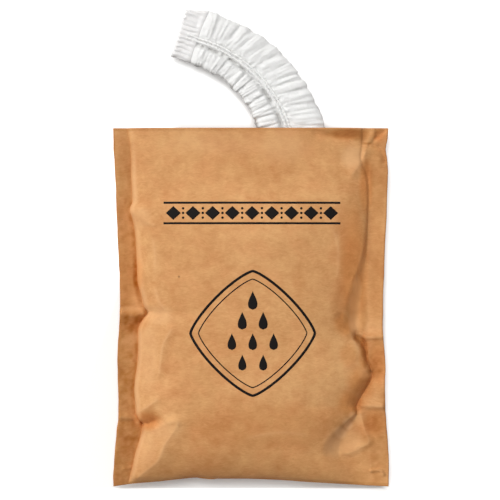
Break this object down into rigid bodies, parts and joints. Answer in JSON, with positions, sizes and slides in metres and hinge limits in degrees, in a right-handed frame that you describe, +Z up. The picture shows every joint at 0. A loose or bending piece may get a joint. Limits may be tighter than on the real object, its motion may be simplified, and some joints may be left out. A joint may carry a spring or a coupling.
{
  "type": "shower cap",
  "caption": "Disposable pleated shower cap, gathered on elastic and folded into a strip, part-way out of an open kraft paper sachet that lies flat.",
  "frame": {"origin": "centre of the sachet's flat underside, the face it lies on", "axes": "+Z up out of the table, +Y along the sachet towards its open mouth, +X to the right when the front face is read from above"},
  "size_m": [0.092, 0.1599, 0.0148],
  "materials": {
    "kraft_paper": "brown kraft paper, matt, lightly creased",
    "heat_seal": "thin heat-seal film between the two paper panels",
    "cap_film": "soft white non-woven film in fine gathers",
    "welded_film": "the same film pressed and welded into ribs",
    "elastic_thread": "white covered elastic thread"
  },
  "bodies": {
    "sachet": {"front_panel": "kraft_paper", "back_panel": "kraft_paper", "side_seal_left": "heat_seal", "side_seal_right": "heat_seal"},
    "cap": {"crown_folds": "cap_film", "outer_frill": "cap_film", "inner_frill": "cap_film", "hem_band": "cap_film", "outer_elastic": "elastic_thread", "inner_elastic": "elastic_thread", "leading_weld": "welded_film", "trailing_weld": "welded_film"}
  },
  "joints": [
    {"name": "cap_slide", "type": "slide", "parent": "sachet", "child": "cap", "axis": [0, 1, 0], "range_m": [0, 0.11]}
  ]
}
